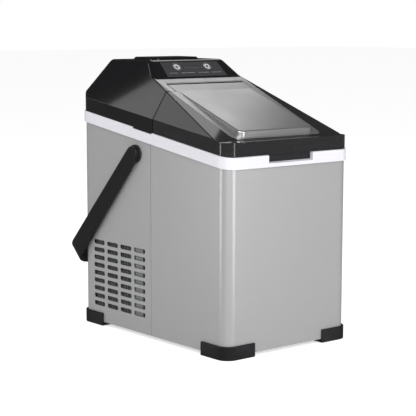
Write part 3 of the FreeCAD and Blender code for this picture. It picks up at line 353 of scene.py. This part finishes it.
def makeRing(outer, inner, thickness, x, along, lift, name):
    # flat ring: a disc whose middle is inset and taken out
    nothingSelected()
    bpy.ops.mesh.primitive_circle_add(vertices=ringLook["sides"], radius=outer, fill_type="NGON")
    piece = bpy.context.object
    bpy.ops.object.mode_set(mode="EDIT")
    bpy.ops.mesh.select_all(action="SELECT")
    bpy.ops.mesh.inset(thickness=outer - inner, depth=0.0)
    bpy.ops.mesh.delete(type="FACE")
    bpy.ops.object.mode_set(mode="OBJECT")
    thickened(piece, thickness)
    applied(piece, "BEVEL", width=thickness * ringLook["softEdge"], segments=ringLook["steps"],
            limit_method="ANGLE")
    return placedOnFace(piece, name, x, along, lift)


def makeBar(width, height, thickness, x, along, lift, name):
    # short printed bar with rounded corners
    nothingSelected()
    bpy.ops.mesh.primitive_plane_add(size=1.0)
    piece = bpy.context.object
    piece.scale = (width, height, 1.0)
    bpy.ops.object.transform_apply(location=False, rotation=False, scale=True)
    applied(piece, "BEVEL", affect="VERTICES", width=height * barLook["corner"], segments=barLook["steps"],
            limit_method="NONE")
    thickened(piece, thickness)
    return placedOnFace(piece, name, x, along, lift)


# rings are outer and inner radius, and the inlay's third value is its thickness
keyMarks = {"spacing": 0.0266, "along": 0.0225, "top": 0.0005, "grooveTop": 0.00022, "thickness": 0.00008,
            "inlay": (0.00512, 0.00428, 0.00022), "symbol": (0.0036, 0.0023), "outline": (0.0071, 0.0067),
            "dot": 0.0008}


def makeKeyMarks():
    # modelled on the left key and copied to the right one
    x = -keyMarks["spacing"]
    along = keyMarks["along"]
    top = keyMarks["top"]
    thin = keyMarks["thickness"]
    inlay = makeRing(*keyMarks["inlay"], x, along, keyMarks["grooveTop"], "keyInlay")
    symbol = makeRing(*keyMarks["symbol"], thin, x, along, top, "keySymbol")
    bright = joined([inlay, symbol], "power_buttonRings")
    bright.data.materials.append(materials["pale_ink"])
    outline = makeRing(*keyMarks["outline"], thin, x, along, top, "keyOutline")
    dot = makeDisc(keyMarks["dot"], thin, x, along, top, "keyDot")
    faint = joined([outline, dot], "power_buttonFaintMarks")
    faint.data.materials.append(materials["faint_ink"])
    twins = [copied(piece, name, 2.0 * keyMarks["spacing"])
             for piece, name in ((bright, "select_buttonRings"), (faint, "select_buttonFaintMarks"))]
    for body, marks in (("power_button", (bright, faint)), ("select_button", twins)):
        for piece in marks:
            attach(piece, body)


labelLook = {"along": 0.0109, "height": 0.0011, "thickness": 0.00006, "lift": 0.00021, "gap": 0.0009,
             "centres": (-0.0384, -0.0132, 0.0137, 0.0370),
             "widths": ((0.0052, 0.0068), (0.0070, 0.0044, 0.0100), (0.0058, 0.0112),
                        (0.0046, 0.0052, 0.0062))}


def makeLabels():
    bars = []
    for centre, widths in zip(labelLook["centres"], labelLook["widths"]):
        total = sum(widths) + labelLook["gap"] * (len(widths) - 1)
        x = centre - total / 2.0
        for width in widths:
            bars.append(makeBar(width, labelLook["height"], labelLook["thickness"], x + width / 2.0,
                                labelLook["along"], labelLook["lift"], "labelBar"))
            x += width + labelLook["gap"]
    labels = joined(bars, "panelLabels")
    labels.data.materials.append(materials["faint_ink"])
    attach(labels, "cabinet")


lensLook = {"along": 0.0205, "first": -0.0110, "pitch": 0.0054, "count": 6, "radius": 0.0008,
            "thickness": 0.0003, "lift": 0.00015}


def makeLenses():
    first = makeDisc(lensLook["radius"], lensLook["thickness"], lensLook["first"], lensLook["along"],
                     lensLook["lift"], "lens")
    others = [copied(first, "lens", step * lensLook["pitch"]) for step in range(1, lensLook["count"])]
    row = joined([first, *others], "indicatorLenses")
    row.data.materials.append(materials["lens_blue"])
    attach(row, "cabinet")


makeKeyMarks()
makeLabels()
makeLenses()
print("stage: marks on the control face")

cameraLook = {"place": (-1.1817, -1.2697 + frontPlace, 0.4230), "azimuth": 39.5, "elevation": 7.83,
              "roll": 0.12, "lens": 118.2, "sensor": 36.0, "nearest": 0.05}


def makeCamera():
    azimuth = math.radians(cameraLook["azimuth"])
    elevation = math.radians(cameraLook["elevation"])
    forward = Vector((math.sin(azimuth) * math.cos(elevation), math.cos(azimuth) * math.cos(elevation),
                      -math.sin(elevation)))
    turn = forward.to_track_quat("-Z", "Y").to_matrix().to_4x4()
    roll = Matrix.Rotation(math.radians(cameraLook["roll"]), 4, "Z")
    data = bpy.data.cameras.new("studioCamera")
    data.lens = cameraLook["lens"]
    data.sensor_width = cameraLook["sensor"]
    data.clip_start = cameraLook["nearest"]
    camera = bpy.data.objects.new("studioCamera", data)
    camera.matrix_world = Matrix.Translation(cameraLook["place"]) @ turn @ roll
    bpy.context.scene.collection.objects.link(camera)
    bpy.context.scene.camera = camera


lamps = {
    "keyBox": {"place": (-1.5, -1.9, 1.3), "size": (1.5, 1.4), "radiance": 7.0},
    "frontBox": {"place": (0.6, -2.2, 1.0), "size": (1.2, 1.2), "radiance": 2.6},
    "cornerRight": {"place": (0.17, -0.86, 0.22), "size": (0.16, 0.60), "radiance": 4.2},
    "cornerLeft": {"place": (-0.80, 0.28, 0.22), "size": (0.16, 0.60), "radiance": 4.6},
    "plateBox": {"place": (0.93, 1.00, 1.36), "size": (0.60, 0.75), "radiance": 1.25,
                 "target": (0.0, 0.0, 0.30)},
    "slopeBox": {"place": (-0.975, 1.152, 1.298), "size": (0.50, 0.80), "radiance": 1.3,
                 "target": (-0.30, -0.05, 0.297), "up": (0.228, -0.546, 0.806)},
}
plainLamp = {"target": (0.0, 0.0, 0.2), "up": (0.0, 0.0, 1.0)}


def makeLamps():
    for name, row in lamps.items():
        look = {**plainLamp, **row}
        data = bpy.data.lights.new(name, "AREA")
        data.shape = "RECTANGLE"
        data.size, data.size_y = look["size"]
        data.energy = look["radiance"] * math.pi * look["size"][0] * look["size"][1]
        lamp = bpy.data.objects.new(name, data)
        place = Vector(look["place"])
        back = (place - Vector(look["target"])).normalized()
        across = Vector(look["up"]).cross(back).normalized()
        turn = Matrix((across, back.cross(across), back)).transposed().to_4x4()
        lamp.matrix_world = Matrix.Translation(place) @ turn
        bpy.context.scene.collection.objects.link(lamp)


worldLook = {"surround": 0.46, "mirrored": 0.05, "seen": 1.0}


def makeWorld():
    world = bpy.data.worlds.new("studio")
    world.use_nodes = True
    tree = world.node_tree
    back = tree.nodes["Background"]
    path = tree.nodes.new("ShaderNodeLightPath")
    mirrored = tree.nodes.new("ShaderNodeMapRange")  # darker again in reflections
    mirrored.inputs["To Min"].default_value = worldLook["surround"]
    mirrored.inputs["To Max"].default_value = worldLook["mirrored"]
    tree.links.new(path.outputs["Is Glossy Ray"], mirrored.inputs["Value"])
    level = tree.nodes.new("ShaderNodeMapRange")     # white to the eye, dimmer as a light
    tree.links.new(mirrored.outputs["Result"], level.inputs["To Min"])
    level.inputs["To Max"].default_value = worldLook["seen"]
    tree.links.new(path.outputs["Is Camera Ray"], level.inputs["Value"])
    tree.links.new(level.outputs["Result"], back.inputs["Strength"])
    back.inputs["Color"].default_value = white
    bpy.context.scene.world = world


floorLook = {"size": 30.0, "height": -0.0005, "rough": 0.9, "paper": (0.80, 0.80, 0.80, 1.0),
             "mirrored": (0.16, 0.16, 0.16, 1.0), "glow": 0.05, "seenGlow": 0.62}


def makeFloor():
    nothingSelected()
    bpy.ops.mesh.primitive_plane_add(size=floorLook["size"], location=(0.0, 0.0, floorLook["height"]))
    floor = settle(bpy.context.object, "studioFloor")
    material = bpy.data.materials.new("floorPaper")
    material.use_nodes = True
    tree = material.node_tree
    shader = tree.nodes["Principled BSDF"]
    shader.inputs["Roughness"].default_value = floorLook["rough"]
    shader.inputs["Emission Color"].default_value = white
    path = tree.nodes.new("ShaderNodeLightPath")
    dimmed = tree.nodes.new("ShaderNodeMix")         # grey in reflections so that black parts stay black
    dimmed.data_type = "RGBA"
    dimmed.inputs["A"].default_value = floorLook["paper"]
    dimmed.inputs["B"].default_value = floorLook["mirrored"]
    tree.links.new(path.outputs["Is Glossy Ray"], dimmed.inputs["Factor"])
    tree.links.new(dimmed.outputs["Result"], shader.inputs["Base Color"])
    level = tree.nodes.new("ShaderNodeMapRange")     # brighter to the eye than as a light
    level.inputs["To Min"].default_value = floorLook["glow"]
    level.inputs["To Max"].default_value = floorLook["seenGlow"]
    tree.links.new(path.outputs["Is Camera Ray"], level.inputs["Value"])
    tree.links.new(level.outputs["Result"], shader.inputs["Emission Strength"])
    floor.data.materials.append(material)


makeCamera()
makeLamps()
makeWorld()
makeFloor()
bpy.context.scene.view_settings.view_transform = "Standard"
print("stage: camera, light and floor")
